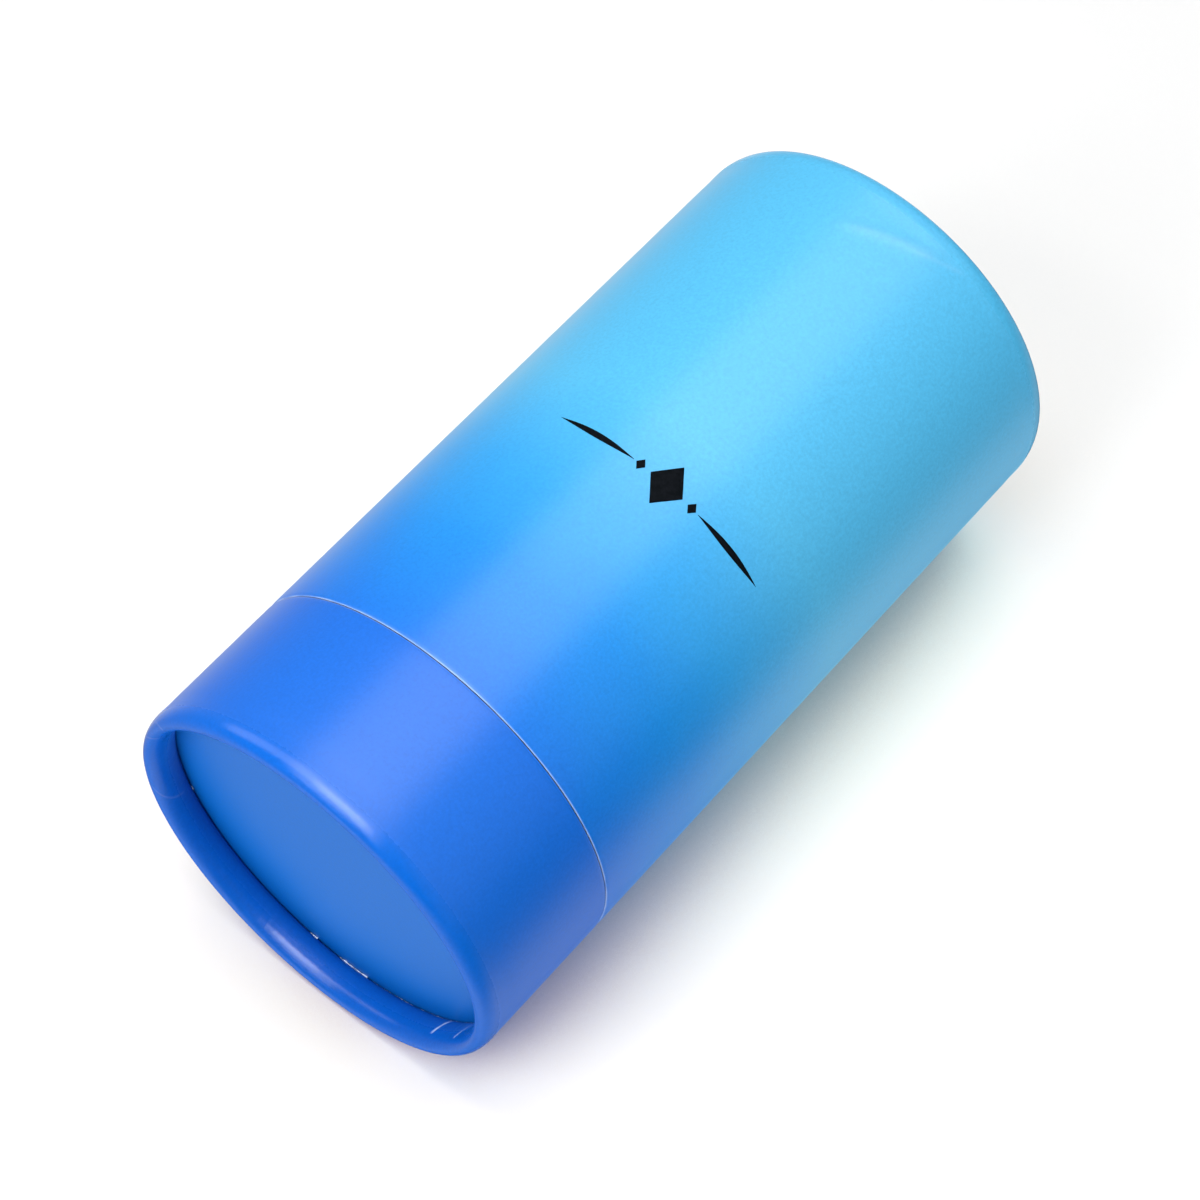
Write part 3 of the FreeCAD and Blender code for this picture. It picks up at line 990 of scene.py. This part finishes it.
def paper_disc(name, node, seed, wave=0.03 * MM, rings=26, columns=192):
    """Round sheet in a CAD disc's place: r grows to the edge and shrinks again underneath.

    Its height wanders by a sum of slow waves across X and Y with seeded directions.
    """
    low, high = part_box(node)
    radius = high.x
    rng = np.random.default_rng(seed)
    r = radius * np.linspace(0.01, 1.0, rings) ** 0.7
    r[-1] = radius - EDGE_ROUND
    r = np.concatenate([r, [radius], [radius], r[::-1]])
    level = np.concatenate([np.full(rings, high.z), [high.z - EDGE_ROUND, low.z + EDGE_ROUND],
                            np.full(rings, low.z)])
    theta = np.linspace(-np.pi, np.pi, columns, endpoint=False)
    points = around(r[:, None], level[:, None], theta[None, :])
    fade = 1.0 - ease((r / radius - 0.6) / 0.35)[:, None]
    headings = rng.uniform(0, np.pi, DISC_WAVES)
    counts = rng.uniform(0.6, 1.6, DISC_WAVES)
    phases = rng.uniform(0, 6.3, DISC_WAVES)
    for heading, waves, phase in zip(headings, counts, phases):
        across = (points[..., 0] * math.cos(heading) + points[..., 1] * math.sin(heading)) / radius
        points[..., 2] += wave / DISC_WAVES * fade * np.sin(np.pi * waves * across + phase)
    still = np.zeros(points.shape[0] * columns + 2)
    return make_piece(name, [surface(points, ring=False)], bare=still, worn=still)


for name, body, node, material, slot in (
    ("base_end_sheet", "base", "base_disc_face", disc_print, "printed_paper_base"),
    ("base_floor_sheet", "base", "base_floor_paper", lining_white, "white_paper"),
    ("lid_end_sheet", "lid", "lid_disc_face", lid_print, "printed_paper_lid"),
    ("lid_ceiling_sheet", "lid", "lid_ceiling_paper", lining_white, "white_paper"),
):
    seat(paper_disc(name, node, len(node)), body, material, node)

# %% [markdown]
# ## Torn fibres
#
# Where the paper is tucked in above the disc, its edge is torn rather than cut, and white
# fibres stand out along part of the joint. Each torn stretch is a very thin ribbon: a path
# along the joint, and an oval section whose width changes raggedly from point to point.

# %% Ribbons along a path
JOINT_RADIUS = 32.8 * MM
JOINT_HEIGHT = 6.12 * MM
POINTS_PER_DEGREE = 6
SWAY_OUT = 0.06 * MM
SWAY_UP = 0.08 * MM
# The fibres lie on a slope; these are its shares outward and upward.
SLOPE_OUT = 0.62
SLOPE_UP = 0.78
THINNEST = 0.002
FLATNESS = 0.2
# Each torn stretch: from and to in degrees, seed, share that is torn and half its width in mm.
TORN_STRETCHES = (
    (89.0, 86.5, 3, 0.9, 0.16),
    (78.0, 68.0, 4, 0.8, 0.17),
    (66.0, 12.0, 5, 0.3, 0.06),
    (146.5, 144.5, 6, 0.9, 0.12),
)


def ribbon(centre, across, lift, half_width, half_thick, sides=8):
    """Closed strip: at each point of the path an ellipse, half_width across and half_thick high."""
    phi = np.linspace(0.0, 2.0 * np.pi, sides, endpoint=False)
    wide = half_width[:, None, None] * np.cos(phi)[None, :, None] * across[:, None, :]
    high = half_thick[:, None, None] * np.sin(phi)[None, :, None] * lift[:, None, :]
    return surface(centre[:, None, :] + wide + high, ring=False)


def ragged(count, seed, keep):
    """Random widths from 0 to 1, smoothed over neighbours, with the lowest share cut to nothing."""
    rng = np.random.default_rng(seed)
    rough = np.convolve(rng.random(count + 4), np.ones(5) / 5.0, "valid")
    rough = (rough - rough.min()) / np.ptp(rough)
    return np.clip((rough - 1.0 + keep) / keep, 0.0, 1.0)


def torn_edge(theta_from, theta_to, seed, keep, width):
    """Ribbon along the joint of roll and disc between two angles in degrees."""
    count = int(abs(theta_to - theta_from) * POINTS_PER_DEGREE)
    theta = np.radians(np.linspace(theta_from, theta_to, count))
    rng = np.random.default_rng(seed)
    sway = np.convolve(rng.normal(0.0, 1.0, count + 8), np.ones(9) / 9.0, "valid")
    centre = around(JOINT_RADIUS + SWAY_OUT * sway, JOINT_HEIGHT + SWAY_UP * sway, theta)
    outward = around(1.0, 0.0, theta)
    up = np.array([0.0, 0.0, 1.0])
    across = outward * SLOPE_OUT - up * SLOPE_UP
    lift = -outward * SLOPE_UP - up * SLOPE_OUT
    half_width = (THINNEST + width * ragged(count, seed + 1, keep)) * MM
    return ribbon(centre, across, lift, half_width, FLATNESS * half_width)


def fibre_material():
    """White torn paper: rough, with fine streaks between bright and bluish white."""
    material, tree, shader, place = start_material("torn_fibre", specular=0.2)
    streaks = noise(tree, place, 3500.0, detail=4.0)
    bluish, bright = colour(0.46, 0.62, 0.85), colour(0.86, 0.89, 0.93)
    white = mix_colours(tree, spread(tree, streaks, 0.0, 1.0), bluish, bright)
    roughness = spread(tree, streaks, 0.75, 0.95)
    finish_shader(tree, shader, white, roughness, streaks, depth=0.03 * MM, strength=0.5)
    return material


base_fibres = make_piece("base_torn_fibres", [torn_edge(*stretch) for stretch in TORN_STRETCHES])
seat(base_fibres, "base", fibre_material())

# %% [markdown]
# ## Ornament on the front of the lid
#
# The front carries one line of black print, a plain printer's ornament: a lozenge between two
# small ones and two swelled rules. Ink on paper has hardly any thickness, but a mesh that
# lies exactly on the paper would flicker, so the ink stands out by a few hundredths of a
# millimetre. It is the ribbon from above, laid round the wall, with a width that follows the
# drawing.

# %% Printed ornament
INK_PROUD = 0.02 * MM
ORNAMENT_HEIGHT = 73.9 * MM
ORNAMENT_TURN = math.radians(-90.0)


def ink_shape(start, end, width):
    """Ribbon round the lid's wall from start to end in mm of arc, as wide as width(share) says."""
    share = np.linspace(0.004, 0.996, 61)
    theta = ORNAMENT_TURN + (start + (end - start) * share) * MM / WALL_RADIUS
    centre = around(WALL_RADIUS, ORNAMENT_HEIGHT, theta)
    across = np.tile([0.0, 0.0, 1.0], (len(share), 1))
    lift = around(1.0, 0.0, theta)
    relief = np.full(len(share), INK_PROUD + OUT_OF_ROUND)
    return ribbon(centre, across, lift, width(share) * MM, relief, sides=12)


def lozenge(half_height):
    """Width that grows in a straight line to the middle and shrinks again."""
    return lambda share: half_height * (1.0 - np.abs(2.0 * share - 1.0)) + 0.01


def swelled_rule(half_height):
    """Width that swells from a point to its full height in the middle and thins out again."""
    return lambda share: half_height * np.sin(np.pi * share) + 0.02


def black_ink():
    """Black printing ink, hardly glossy, with a faint speckle."""
    material, tree, shader, place = start_material("black_ink", specular=0.02)
    speckle = noise(tree, place, 1500.0, detail=4.0)
    darkest, dark = colour(0.001, 0.002, 0.003), colour(0.004, 0.005, 0.007)
    black = mix_colours(tree, rescale(tree, speckle, 0.35, 0.7, 0.0, 1.0), darkest, dark)
    roughness = spread(tree, speckle, 0.42, 0.52)
    finish_shader(tree, shader, black, roughness, speckle, depth=0.02 * MM, strength=0.25)
    return material


ink_shapes = [ink_shape(-3.2, 3.2, lozenge(4.2))]
for side in (-1.0, 1.0):
    ink_shapes += [
        ink_shape(side * 21.0, side * 6.4, swelled_rule(0.55)),
        ink_shape(side * 4.3, side * 6.0, lozenge(1.1)),
    ]
ornament = make_piece("lid_printed_ornament", ink_shapes)
seat(ornament, "lid", black_ink())
